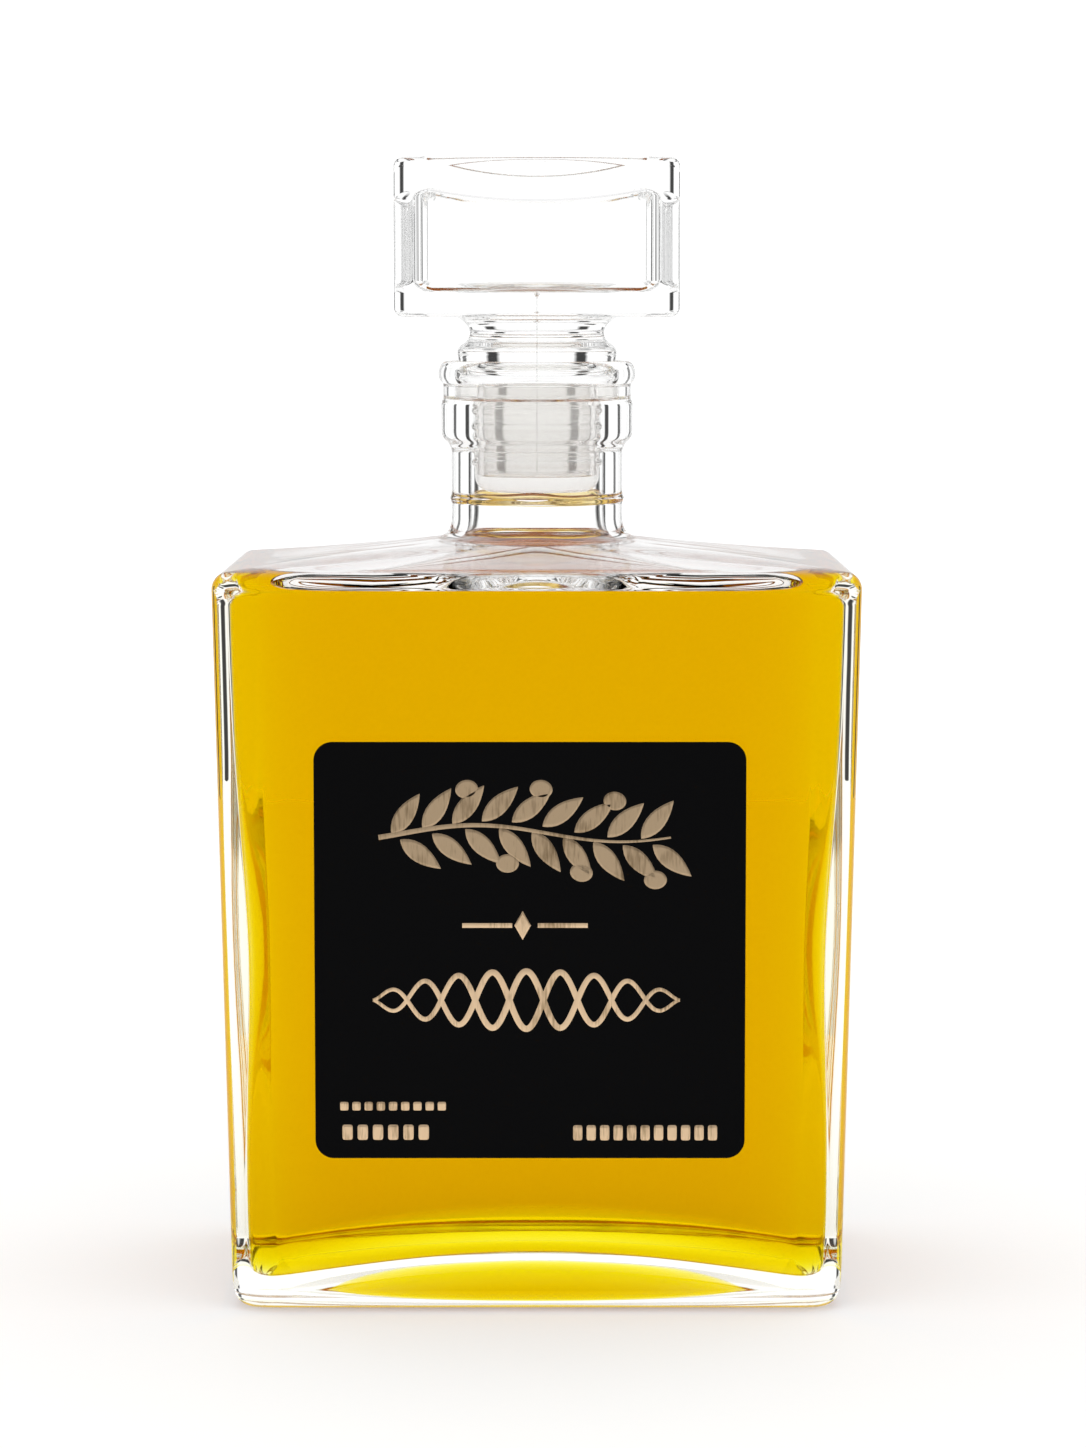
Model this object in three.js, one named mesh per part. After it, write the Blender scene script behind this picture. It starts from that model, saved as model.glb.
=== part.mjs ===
// One-litre glass decanter of olive oil: heavy tapered bottle, the oil in it, a black front label,
// a hollow glass stopper and the soft plastic seal that holds the stopper in the neck.
// Millimetres, +Z up, label towards -Y, origin on the ground under the middle of the base.
import * as THREE from 'three';

// Body of the bottle, outside
const BODY_HEIGHT = 143.5;
const BODY_WIDTH_TOP = 124.8;
const BODY_WIDTH_BOTTOM = 118.4;
const BODY_DEPTH = 79.4;
const BODY_CORNER = 5;
const BODY_CORNER_SPREAD = 4;
const HEEL_RADIUS = 4.4;
const SHOULDER_RADIUS = 3.6;
const SHOULDER_RISE = 4.5;
const SHOULDER_TURN = THREE.MathUtils.degToRad(78);
const CROWN_SHARES = [0.1, 0.25, 0.5, 0.75];
const CROWN_ROUNDING = 0.9;
const DISH_SHARES = [0.3, 0.6, 0.85];
const PUSH_UP = 4.5;
const BEARING_WIDTH = 5;

// Neck and mouth of the bottle
const NECK_RADIUS = 17.05;
const NECK_FOOT_RADIUS = 21.5;
const NECK_FOOT_HEIGHT = 4.4;
const SEAM_HEIGHT = 156;
const SEAM_BEAD = 0.35;
const COLLAR_RADIUS = 19.05;
const COLLAR_BOTTOM = 165.5;
const COLLAR_TOP = 175.2;
const WAIST_RADIUS = 18.7;
const LIP_RADIUS = 19.65;
const MOUTH_TOP = 183.2;
const MOUTH_RADIUS = 16.5;
const LEDGE_HEIGHT = 175.2;
const BORE_RADIUS = 13.3;

// Inside of the bottle
const FRONT_WALL = 3.8;
const SIDE_WALL = 4.7;
const PINCH = 1.1;
const PINCH_HEIGHT = 68;
const PINCH_REACH = 28;
const CEILING_RIM = 140;
const BORE_FLARE = 5;
const WALL_HEIGHTS = [120, 94, 70, 46, 20];
const INSIDE_CORNER = 9;
const INSIDE_CORNER_SPREAD = 15;
const INSIDE_FILLET = 3.6;
const FLOOR_CORNER_HEIGHT = 4.4;
const FLOOR_RISE = 8.2;
const FLOOR_FALL_TO_FRONT = 0.26;

// Oil, with its clearance to the glass
const OIL_LEVEL = 139.7;
const CLEARANCE = 0.3;

// Label on the front face
const LABEL_WIDTH = 82.8;
const LABEL_HEIGHT = 80.8;
const LABEL_CORNER = 3.6;
const LABEL_THICKNESS = 0.25;
const LABEL_GAP = 0.1;
const LABEL_OFFSET = -1.3;
const LABEL_CENTRE = 70.8;

// Stopper: a hollow head on a spool-shaped foot with a stem
const HEAD_WIDTH = 55.9;
const HEAD_DEPTH = 38;
const HEAD_BOTTOM = 191.9;
const HEAD_TOP = 222.9;
const HEAD_CORNER = 5.6;
const HEAD_EDGE = 1.8;
const HEAD_RIM = 3;
const HEAD_DISH = 4.2;
const DISH_FALL_TO_FRONT = 0.79;
const HEAD_WALL = 4.5;
const CEILING_WALL = 3.7;
const CEILING_SAG_ACROSS = 2.9;
const CEILING_SAG_ALONG = 3.5;
const HEAD_FILLET = 2.5;
const FOOT_RADIUS = 15.9;
const FOOT_BOTTOM = 180.2;
const FOOT_WAIST_RADIUS = 13.35;
const FOOT_WAIST_HEIGHT = 188.7;
const STEM_RADIUS = 10.4;
const STEM_BOTTOM = 161;
const STEM_BORE = 0.6;

// Plastic seal between stopper and bottle
const SEAL_FLANGE_RADIUS = 16.2;
const SEAL_FLANGE_TOP = 179.9;
const SEAL_RIB_RADIUS = 13;
const SEAL_PLUG_RADIUS = 12.4;
const SEAL_BOTTOM = 157.3;
const SEAL_SOCKET_RADIUS = 10.7;
const SEAL_SOCKET_BOTTOM = 160.4;
const SEAL_RIBS = [173.4, 170.3, 167.2, 163.2];
const SEAL_RIB_HEIGHT = 0.9;
const SEAL_SIDES = 32;

// Each ring has straight runs and corner arcs in every quarter
const STRAIGHT_STEPS = 3;
const ARC_STEPS = 5;
const QUARTER = 2 * STRAIGHT_STEPS + ARC_STEPS;
const SIDES = 4 * QUARTER;

function quarterPoint(step, halfWidth, halfDepth, radius, spread) {
  const reach = radius + spread;
  if (step <= STRAIGHT_STEPS) {
    return new THREE.Vector2(halfWidth, ((halfDepth - radius) * step) / STRAIGHT_STEPS);
  }
  if (step <= STRAIGHT_STEPS + ARC_STEPS) {
    const angle = ((step - STRAIGHT_STEPS) / ARC_STEPS) * (Math.PI / 2);
    return new THREE.Vector2(
      halfWidth - reach + reach * Math.cos(angle),
      halfDepth - radius + radius * Math.sin(angle),
    );
  }
  return new THREE.Vector2(((halfWidth - reach) * (QUARTER - step)) / STRAIGHT_STEPS, halfDepth);
}

// Rounded rectangle, anticlockwise from the middle of its +X side; its corners can reach further along X
function roundedRectangle(halfWidth, halfDepth, radius, spread = 0) {
  const points = [];
  for (let i = 0; i < SIDES; i += 1) {
    const quarter = Math.floor(i / QUARTER);
    const step = i % QUARTER;
    const along = quarter % 2 === 0 ? step : QUARTER - step;
    const point = quarterPoint(along, halfWidth, halfDepth, radius, spread);
    const signX = quarter === 1 || quarter === 2 ? -1 : 1;
    const signY = quarter >= 2 ? -1 : 1;
    points.push(new THREE.Vector2(signX * point.x, signY * point.y));
  }
  return points;
}

function circle(radius) {
  const points = [];
  for (let i = 0; i < SIDES; i += 1) {
    const angle = (i / SIDES) * 2 * Math.PI;
    points.push(new THREE.Vector2(radius * Math.cos(angle), radius * Math.sin(angle)));
  }
  return points;
}

function blend(from, to, share) {
  return from.map((point, i) => point.clone().lerp(to[i], share));
}

function scale(outline, factor) {
  return outline.map((point) => point.clone().multiplyScalar(factor));
}

// A ring at one height, or at a height given for each of its points
function lift(outline, height) {
  const heightAt = typeof height === 'function' ? height : () => height;
  return outline.map((point) => new THREE.Vector3(point.x, point.y, heightAt(point.x, point.y)));
}

function roundRing([radius, height]) {
  return lift(circle(radius), height);
}

// Closed skin from a point on the axis, through the rings in order, to another point on the axis
function loft(startHeight, rings, endHeight) {
  const points = [
    new THREE.Vector3(0, 0, startHeight),
    ...rings.flat(),
    new THREE.Vector3(0, 0, endHeight),
  ];
  const indices = [];
  const lastRing = 1 + (rings.length - 1) * SIDES;
  for (let i = 0; i < SIDES; i += 1) {
    const next = (i + 1) % SIDES;
    indices.push(0, 1 + next, 1 + i);
    for (let ring = 0; ring < rings.length - 1; ring += 1) {
      const here = 1 + ring * SIDES;
      const above = here + SIDES;
      indices.push(here + i, here + next, above + next);
      indices.push(here + i, above + next, above + i);
    }
    indices.push(lastRing + i, lastRing + next, points.length - 1);
  }
  const geometry = new THREE.BufferGeometry().setFromPoints(points);
  geometry.setIndex(indices);
  geometry.computeVertexNormals();
  return geometry;
}

// Steps round an arc from upright: how far in from the side and how far up, each from 0 to 1
function arcTurn(steps, angle = Math.PI / 2) {
  const turn = [];
  for (let i = 0; i <= steps; i += 1) {
    const here = (i / steps) * angle;
    turn.push({ inward: 1 - Math.cos(here), upward: Math.sin(here) });
  }
  return turn;
}

function bodyHalfWidth(height) {
  const share = height / BODY_HEIGHT;
  return (BODY_WIDTH_BOTTOM + (BODY_WIDTH_TOP - BODY_WIDTH_BOTTOM) * share) / 2;
}

function bodyOutline(height, inset) {
  const halfWidth = bodyHalfWidth(height) - inset;
  return roundedRectangle(halfWidth, BODY_DEPTH / 2 - inset, BODY_CORNER - inset, BODY_CORNER_SPREAD);
}

// Glass is thickest part of the way up the narrow sides
function sideWall(height) {
  return SIDE_WALL + PINCH * Math.exp(-(((height - PINCH_HEIGHT) / PINCH_REACH) ** 2));
}

function insideOutline(height, inset) {
  const halfWidth = bodyHalfWidth(height) - sideWall(height) - inset;
  const halfDepth = BODY_DEPTH / 2 - FRONT_WALL - inset;
  return roundedRectangle(halfWidth, halfDepth, INSIDE_CORNER - 0.5 * inset, INSIDE_CORNER_SPREAD);
}

// Inside floor: an arch from side to side that falls a little towards front and back
function floorHeight(x, y) {
  const across = x / (BODY_WIDTH_BOTTOM / 2 - SIDE_WALL);
  const along = y / (BODY_DEPTH / 2 - FRONT_WALL);
  return FLOOR_CORNER_HEIGHT + FLOOR_RISE * (1 - across ** 2) * (1 - FLOOR_FALL_TO_FRONT * along ** 2);
}

// Underside: a dish inside the flat bearing ring, then the rounded heel
function baseRings() {
  const inset = HEEL_RADIUS + BEARING_WIDTH;
  const halfWidth = bodyHalfWidth(0) - inset;
  const halfDepth = BODY_DEPTH / 2 - inset;
  const bearing = roundedRectangle(halfWidth, halfDepth, BODY_CORNER - HEEL_RADIUS, BODY_CORNER_SPREAD);
  const pushHeight = (x, y) => PUSH_UP * (1 - (x / halfWidth) ** 2) * (1 - (y / halfDepth) ** 2);
  const dish = DISH_SHARES.map((share) => lift(scale(bearing, share), pushHeight));
  const heel = arcTurn(4).reverse().map(({ inward, upward }) => (
    lift(bodyOutline(0, HEEL_RADIUS * inward), HEEL_RADIUS * (1 - upward))
  ));
  return [...dish, lift(bearing, 0), ...heel];
}

// Ring between the edge of the shoulder and the round foot of the neck; its corners grow rounder on the way
function crownOutline(halfWidth, halfDepth, corner, spread, foot, share) {
  const rounder = THREE.MathUtils.lerp(corner, halfDepth, CROWN_ROUNDING * share);
  const edge = roundedRectangle(halfWidth, halfDepth, rounder, spread * (1 - share));
  return blend(edge, circle(foot), share);
}

// The body's upper edge turns over into a shoulder that rises evenly to the neck
function shoulderRings() {
  const edge = arcTurn(4, SHOULDER_TURN).map(({ inward, upward }) => {
    const height = BODY_HEIGHT - SHOULDER_RADIUS * (1 - upward);
    return lift(bodyOutline(height, SHOULDER_RADIUS * inward), height);
  });
  const halfWidth = bodyHalfWidth(BODY_HEIGHT) - SHOULDER_RADIUS;
  const halfDepth = BODY_DEPTH / 2 - SHOULDER_RADIUS;
  const corner = BODY_CORNER - SHOULDER_RADIUS;
  const crown = CROWN_SHARES.map((share) => {
    const outline = crownOutline(halfWidth, halfDepth, corner, BODY_CORNER_SPREAD, NECK_FOOT_RADIUS, share);
    return lift(outline, BODY_HEIGHT + SHOULDER_RISE * share);
  });
  return [...edge, ...crown];
}

function neckRings() {
  const foot = BODY_HEIGHT + SHOULDER_RISE;
  const spread = NECK_FOOT_RADIUS - NECK_RADIUS;
  const fillet = arcTurn(4).reverse().map(({ inward, upward }) => (
    [NECK_RADIUS + spread * inward ** 1.4, foot + NECK_FOOT_HEIGHT * (1 - upward)]
  ));
  const profile = [
    ...fillet,
    [NECK_RADIUS, SEAM_HEIGHT - 0.8],
    [NECK_RADIUS + SEAM_BEAD, SEAM_HEIGHT],
    [NECK_RADIUS, SEAM_HEIGHT + 0.8],
    [NECK_RADIUS, COLLAR_BOTTOM],
    [NECK_RADIUS + 0.45, COLLAR_BOTTOM + 1.2],
    [COLLAR_RADIUS - 0.35, COLLAR_BOTTOM + 2.4],
    [COLLAR_RADIUS, COLLAR_BOTTOM + 3.6],
    [COLLAR_RADIUS, COLLAR_TOP - 0.4],
    [WAIST_RADIUS, COLLAR_TOP + 0.5],
    [WAIST_RADIUS, MOUTH_TOP - 4.6],
    [LIP_RADIUS - 0.15, MOUTH_TOP - 3.6],
    [LIP_RADIUS, MOUTH_TOP - 2.3],
    [LIP_RADIUS - 0.4, MOUTH_TOP - 0.9],
    [LIP_RADIUS - 1.3, MOUTH_TOP],
    [MOUTH_RADIUS + 0.6, MOUTH_TOP],
    [MOUTH_RADIUS, MOUTH_TOP - 0.6],
    [MOUTH_RADIUS, LEDGE_HEIGHT],
    [BORE_RADIUS + 0.5, LEDGE_HEIGHT],
    [BORE_RADIUS, LEDGE_HEIGHT - 0.6],
  ];
  return profile.map(roundRing);
}

// The underside of the shoulder, from the bore out to the walls
function ceilingRings() {
  const halfWidth = bodyHalfWidth(CEILING_RIM) - sideWall(CEILING_RIM) - INSIDE_FILLET;
  const halfDepth = BODY_DEPTH / 2 - FRONT_WALL - INSIDE_FILLET;
  const corner = INSIDE_CORNER - 0.5 * INSIDE_FILLET;
  const mouth = BORE_RADIUS + BORE_FLARE;
  const crest = CEILING_RIM + SHOULDER_RISE;
  const boreFoot = [
    [BORE_RADIUS, crest + 1.6 * BORE_FLARE],
    [BORE_RADIUS + 0.08 * BORE_FLARE, crest + BORE_FLARE],
    [BORE_RADIUS + 0.32 * BORE_FLARE, crest + 0.45 * BORE_FLARE],
    [mouth, crest],
  ];
  const crown = [...CROWN_SHARES].reverse().map((share) => {
    const outline = crownOutline(halfWidth, halfDepth, corner, INSIDE_CORNER_SPREAD, mouth, share);
    return lift(outline, CEILING_RIM + SHOULDER_RISE * share);
  });
  return [...boreFoot.map(roundRing), ...crown];
}

function wallTopRings(inset, top) {
  return arcTurn(4, SHOULDER_TURN).reverse().map(({ inward, upward }) => {
    const height = Math.min(CEILING_RIM - INSIDE_FILLET * (1 - upward), top);
    return lift(insideOutline(height, INSIDE_FILLET * inward + inset), height);
  });
}

// Walls from top to bottom, then the fillet and the arched floor
function wallRings(inset) {
  const walls = WALL_HEIGHTS.map((height) => lift(insideOutline(height, inset), height));
  const fillet = arcTurn(3).map(({ inward, upward }) => {
    const outline = insideOutline(FLOOR_CORNER_HEIGHT, INSIDE_FILLET * inward + inset);
    const drop = INSIDE_FILLET * (1 - upward) + inset;
    return lift(outline, (x, y) => floorHeight(x, y) + drop);
  });
  const edge = insideOutline(FLOOR_CORNER_HEIGHT, INSIDE_FILLET + inset);
  const floor = [...DISH_SHARES].reverse().map((share) => (
    lift(scale(edge, share), (x, y) => floorHeight(x, y) + inset)
  ));
  return [...walls, ...fillet, ...floor];
}

function bottleGeometry() {
  const rings = [
    ...baseRings(),
    lift(bodyOutline(BODY_HEIGHT / 2, 0), BODY_HEIGHT / 2),
    ...shoulderRings(),
    ...neckRings(),
    ...ceilingRings(),
    ...wallTopRings(0, BODY_HEIGHT),
    ...wallRings(0),
  ];
  return loft(PUSH_UP, rings, floorHeight(0, 0));
}

function oilGeometry() {
  const rings = [...wallTopRings(CLEARANCE, OIL_LEVEL), ...wallRings(CLEARANCE)].reverse();
  return loft(floorHeight(0, 0) + CLEARANCE, rings, OIL_LEVEL);
}

function labelGeometry() {
  const shape = new THREE.Shape();
  const right = LABEL_WIDTH / 2;
  const top = LABEL_HEIGHT / 2;
  const inner = { x: right - LABEL_CORNER, y: top - LABEL_CORNER };
  shape.absarc(inner.x, inner.y, LABEL_CORNER, 0, Math.PI / 2);
  shape.absarc(-inner.x, inner.y, LABEL_CORNER, Math.PI / 2, Math.PI);
  shape.absarc(-inner.x, -inner.y, LABEL_CORNER, Math.PI, 1.5 * Math.PI);
  shape.absarc(inner.x, -inner.y, LABEL_CORNER, 1.5 * Math.PI, 2 * Math.PI);
  return new THREE.ExtrudeGeometry(shape, { depth: LABEL_THICKNESS, bevelEnabled: false, curveSegments: 6 });
}

function headOutline(inset) {
  return roundedRectangle(HEAD_WIDTH / 2 - inset, HEAD_DEPTH / 2 - inset, Math.max(HEAD_CORNER - inset, 2.4));
}

// Squared distance from the head's middle towards its sides and its front, each up to 1 at the rim
function headShares(x, y) {
  const across = x / (HEAD_WIDTH / 2 - HEAD_RIM);
  const along = y / (HEAD_DEPTH / 2 - HEAD_RIM);
  return { across: Math.min(across ** 2, 1), along: Math.min(along ** 2, 1) };
}

function dishHeight(x, y) {
  const { across, along } = headShares(x, y);
  return HEAD_TOP - HEAD_DISH * (1 - across) * (1 - DISH_FALL_TO_FRONT * along);
}

function ceilingHeight(x, y) {
  const { across, along } = headShares(x, y);
  const sag = CEILING_SAG_ACROSS * (1 - across) + CEILING_SAG_ALONG * (1 - along);
  return HEAD_TOP - CEILING_WALL - sag;
}

// Cavity of the head: the sagging ceiling, the walls, the floor and the funnel into the stem
function cavityRings() {
  const floor = HEAD_BOTTOM + HEAD_WALL + 0.2;
  const edge = headOutline(HEAD_WALL + HEAD_FILLET);
  const sheet = DISH_SHARES.map((share) => lift(scale(edge, share), ceilingHeight));
  const turn = arcTurn(3);
  const upper = [...turn].reverse().map(({ inward, upward }) => (
    lift(headOutline(HEAD_WALL + HEAD_FILLET * inward), (x, y) => (
      ceilingHeight(x, y) - HEAD_FILLET * (1 - upward)
    ))
  ));
  const lower = turn.map(({ inward, upward }) => (
    lift(headOutline(HEAD_WALL + HEAD_FILLET * inward), floor + HEAD_FILLET * (1 - upward))
  ));
  const funnel = [
    [STEM_BORE + 0.6, floor - 0.2],
    [STEM_BORE, floor - 1],
    [STEM_BORE, STEM_BOTTOM + 0.6],
    [STEM_BORE + 0.6, STEM_BOTTOM],
  ];
  return { apex: ceilingHeight(0, 0), rings: [...sheet, ...upper, ...lower, ...funnel.map(roundRing)] };
}

function footRings() {
  const profile = [
    [STEM_RADIUS - 0.6, STEM_BOTTOM],
    [STEM_RADIUS, STEM_BOTTOM + 0.6],
    [STEM_RADIUS, FOOT_BOTTOM],
    [FOOT_RADIUS - 0.9, FOOT_BOTTOM],
    [FOOT_RADIUS - 0.2, FOOT_BOTTOM + 0.7],
    [FOOT_RADIUS - 0.2, MOUTH_TOP],
    [FOOT_RADIUS, FOOT_WAIST_HEIGHT - 3.6],
    [FOOT_RADIUS - 0.4, FOOT_WAIST_HEIGHT - 2.7],
    [FOOT_WAIST_RADIUS + 0.7, FOOT_WAIST_HEIGHT - 1.7],
    [FOOT_WAIST_RADIUS, FOOT_WAIST_HEIGHT - 0.4],
    [FOOT_WAIST_RADIUS + 0.1, FOOT_WAIST_HEIGHT + 0.9],
    [FOOT_WAIST_RADIUS + 1, FOOT_WAIST_HEIGHT + 2],
    [FOOT_WAIST_RADIUS + 2.6, HEAD_BOTTOM],
  ];
  return profile.map(roundRing);
}

function headRings() {
  const turn = arcTurn(3);
  const lower = [...turn].reverse().map(({ inward, upward }) => (
    lift(headOutline(HEAD_EDGE * inward), HEAD_BOTTOM + HEAD_EDGE * (1 - upward))
  ));
  const upper = turn.map(({ inward, upward }) => (
    lift(headOutline(HEAD_EDGE * inward), HEAD_TOP - HEAD_EDGE * (1 - upward))
  ));
  const rim = headOutline(HEAD_RIM);
  const dish = [1, 0.75, 0.5, 0.25].map((share) => (
    lift(scale(rim, share), dishHeight)
  ));
  return [...lower, ...upper, ...dish];
}

function stopperGeometry() {
  const cavity = cavityRings();
  return loft(cavity.apex, [...cavity.rings, ...footRings(), ...headRings()], HEAD_TOP - HEAD_DISH);
}

// Half section of the seal from the axis underneath, up its outside, and down its socket to the axis
function sealGeometry() {
  const rounding = 3.2;
  const bottom = arcTurn(4).reverse().map(({ inward, upward }) => (
    new THREE.Vector2(SEAL_PLUG_RADIUS - rounding * inward, SEAL_BOTTOM + rounding * (1 - upward))
  ));
  const ribs = [...SEAL_RIBS].reverse().flatMap((height) => [
    new THREE.Vector2(SEAL_PLUG_RADIUS, height - SEAL_RIB_HEIGHT),
    new THREE.Vector2(SEAL_RIB_RADIUS, height - 0.4 * SEAL_RIB_HEIGHT),
    new THREE.Vector2(SEAL_RIB_RADIUS, height + 0.4 * SEAL_RIB_HEIGHT),
    new THREE.Vector2(SEAL_PLUG_RADIUS, height + SEAL_RIB_HEIGHT),
  ]);
  const flangeBottom = LEDGE_HEIGHT + CLEARANCE;
  const top = [
    [SEAL_PLUG_RADIUS, flangeBottom],
    [SEAL_FLANGE_RADIUS - 0.4, flangeBottom],
    [SEAL_FLANGE_RADIUS, flangeBottom + 0.4],
    [SEAL_FLANGE_RADIUS, SEAL_FLANGE_TOP - 0.5],
    [SEAL_FLANGE_RADIUS - 0.5, SEAL_FLANGE_TOP],
    [SEAL_SOCKET_RADIUS, SEAL_FLANGE_TOP],
    [SEAL_SOCKET_RADIUS, SEAL_SOCKET_BOTTOM],
    [0, SEAL_SOCKET_BOTTOM],
  ].map(([radius, height]) => new THREE.Vector2(radius, height));
  const profile = [new THREE.Vector2(0, SEAL_BOTTOM), ...bottom, ...ribs, ...top];
  return new THREE.LatheGeometry(profile, SEAL_SIDES).rotateX(Math.PI / 2);
}

const clearGlass = { color: 0xf2f5f3, roughness: 0.03, metalness: 0, transparent: true, opacity: 0.35 };
const goldenOil = { color: 0xdaa702, roughness: 0.05, metalness: 0 };
const blackPaper = { color: 0x131314, roughness: 0.45, metalness: 0 };
const milkyPlastic = { color: 0xdbdad9, roughness: 0.35, metalness: 0 };

function piece(name, geometry, finish) {
  const mesh = new THREE.Mesh(geometry, new THREE.MeshStandardMaterial(finish));
  mesh.name = name;
  return mesh;
}

const label = piece('label', labelGeometry(), blackPaper);
label.rotation.x = Math.PI / 2;
label.position.set(LABEL_OFFSET, -BODY_DEPTH / 2 - LABEL_GAP, LABEL_CENTRE);

const decanter = new THREE.Group();
decanter.add(
  piece('bottle', bottleGeometry(), clearGlass),
  piece('oil', oilGeometry(), goldenOil),
  label,
  piece('stopper', stopperGeometry(), clearGlass),
  piece('stopper_seal', sealGeometry(), milkyPlastic),
);

export default decanter;
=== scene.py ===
"""Finished olive oil bottle: a heavy glass decanter with golden oil, a black label and a hollow stopper.

Metres, +Z up, label towards -Y. The classes hold their sizes in millimetres, the same as the part's solids.
"""

import logging
import math
from collections.abc import Callable, Iterable, Mapping, Sequence
from dataclasses import dataclass
from enum import Enum
from typing import Any

import bpy
import numpy as np
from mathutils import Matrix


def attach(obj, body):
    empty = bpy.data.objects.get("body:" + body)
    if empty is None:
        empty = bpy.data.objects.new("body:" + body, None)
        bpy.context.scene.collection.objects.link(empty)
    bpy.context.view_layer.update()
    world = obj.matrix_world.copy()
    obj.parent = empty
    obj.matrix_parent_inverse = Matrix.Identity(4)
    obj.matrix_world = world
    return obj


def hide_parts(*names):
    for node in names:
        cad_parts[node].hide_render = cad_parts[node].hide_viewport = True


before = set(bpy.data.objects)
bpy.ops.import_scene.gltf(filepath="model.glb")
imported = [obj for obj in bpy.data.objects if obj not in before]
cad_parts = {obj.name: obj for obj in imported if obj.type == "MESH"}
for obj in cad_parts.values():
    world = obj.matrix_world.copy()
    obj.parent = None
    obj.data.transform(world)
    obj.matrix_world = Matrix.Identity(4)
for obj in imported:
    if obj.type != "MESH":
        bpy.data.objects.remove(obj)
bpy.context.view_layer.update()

LOG = logging.getLogger("olive_oil_bottle")
MM = 0.001
BODY = "root"
WHITE = (1.0, 1.0, 1.0, 1.0)
TINY = 1e-6

Profile = list[tuple[float, float]]
Rings = list[np.ndarray]


def linear(colour: str) -> tuple[float, float, float, float]:
    """Turns an sRGB hex colour into linear RGBA.

    Args:
        colour: Six hex digits.

    Returns:
        Red, green, blue and an alpha of one.
    """
    shares = [int(colour[i : i + 2], 16) / 255 for i in (0, 2, 4)]
    red, green, blue = (c / 12.92 if c <= 0.04045 else ((c + 0.055) / 1.055) ** 2.4 for c in shares)
    return red, green, blue, 1.0


def add_node(
    tree: bpy.types.NodeTree, kind: str, inputs: Mapping[Any, Any] | None = None, **settings: Any
) -> Any:
    """Adds a node with its settings and links.

    Args:
        tree: The tree that gets the node.
        kind: The node's type name.
        inputs: Values or output sockets, by input name or number.
        **settings: Properties of the node.

    Returns:
        The new node.
    """
    node = tree.nodes.new(kind)
    for name, value in settings.items():
        setattr(node, name, value)
    for name, value in (inputs or {}).items():
        if isinstance(value, bpy.types.NodeSocket):
            tree.links.new(value, node.inputs[name])
        else:
            node.inputs[name].default_value = value
    return node


def work(tree: bpy.types.NodeTree, operation: str, *values: Any) -> bpy.types.NodeSocket:
    """Adds a sum of numbers or sockets, and gives its result."""
    return add_node(tree, "ShaderNodeMath", dict(enumerate(values)), operation=operation).outputs["Value"]


def blend(tree: bpy.types.NodeTree, share: Any, low: Any, high: Any) -> bpy.types.NodeSocket:
    """Adds a level between two others, and gives its result."""
    inputs = {"Factor": share, "A": low, "B": high}
    return add_node(tree, "ShaderNodeMix", inputs, data_type="FLOAT").outputs["Result"]


def noise(
    tree: bpy.types.NodeTree, size_mm: float, detail: float, roughness: float = 0.5, upright: float = 1.0
) -> bpy.types.NodeSocket:
    """Adds a noise pattern that stays with the object.

    Args:
        tree: The material's tree.
        size_mm: Size of the pattern.
        detail: Number of its finer layers.
        roughness: Strength of its finer layers.
        upright: Scale along Z, below one to draw the pattern out up and down.

    Returns:
        The pattern's level.
    """
    place = add_node(tree, "ShaderNodeTexCoord").outputs["Object"]
    drawn = add_node(tree, "ShaderNodeMapping", {"Vector": place, "Scale": (1.0, 1.0, upright)})
    scale = 1 / (size_mm * MM)
    inputs = {"Vector": drawn.outputs["Vector"], "Scale": scale, "Detail": detail, "Roughness": roughness}
    return add_node(tree, "ShaderNodeTexNoise", inputs).outputs["Fac"]


def tone(
    tree: bpy.types.NodeTree, share: bpy.types.NodeSocket, low: tuple[float, str], high: tuple[float, str]
) -> bpy.types.NodeSocket:
    """Adds a change between two colours.

    Args:
        tree: The material's tree.
        share: Where on the way, 0 to 1.
        low: Place and sRGB hex of the first colour.
        high: Place and sRGB hex of the second colour.

    Returns:
        The colour.
    """
    ramp = add_node(tree, "ShaderNodeValToRGB", {"Fac": share})
    for element, (position, colour) in zip(ramp.color_ramp.elements, (low, high)):
        element.position = position
        element.color = linear(colour)
    return ramp.outputs["Color"]


def rescale(
    tree: bpy.types.NodeTree,
    level: bpy.types.NodeSocket,
    given: tuple[float, float],
    wanted: tuple[float, float],
) -> bpy.types.NodeSocket:
    """Adds a change of range.

    Args:
        tree: The material's tree.
        level: The level to change.
        given: Its lowest and highest value.
        wanted: What these become.

    Returns:
        The new level.
    """
    names = ("From Min", "From Max", "To Min", "To Max")
    inputs = {"Value": level, **dict(zip(names, (*given, *wanted)))}
    return add_node(tree, "ShaderNodeMapRange", inputs).outputs["Result"]


def relief(
    tree: bpy.types.NodeTree, level: bpy.types.NodeSocket, depth_mm: float, strength: float = 1.0
) -> bpy.types.NodeSocket:
    """Adds a bump, and gives its normal."""
    inputs = {"Height": level, "Distance": depth_mm * MM, "Strength": strength}
    return add_node(tree, "ShaderNodeBump", inputs).outputs["Normal"]


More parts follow.
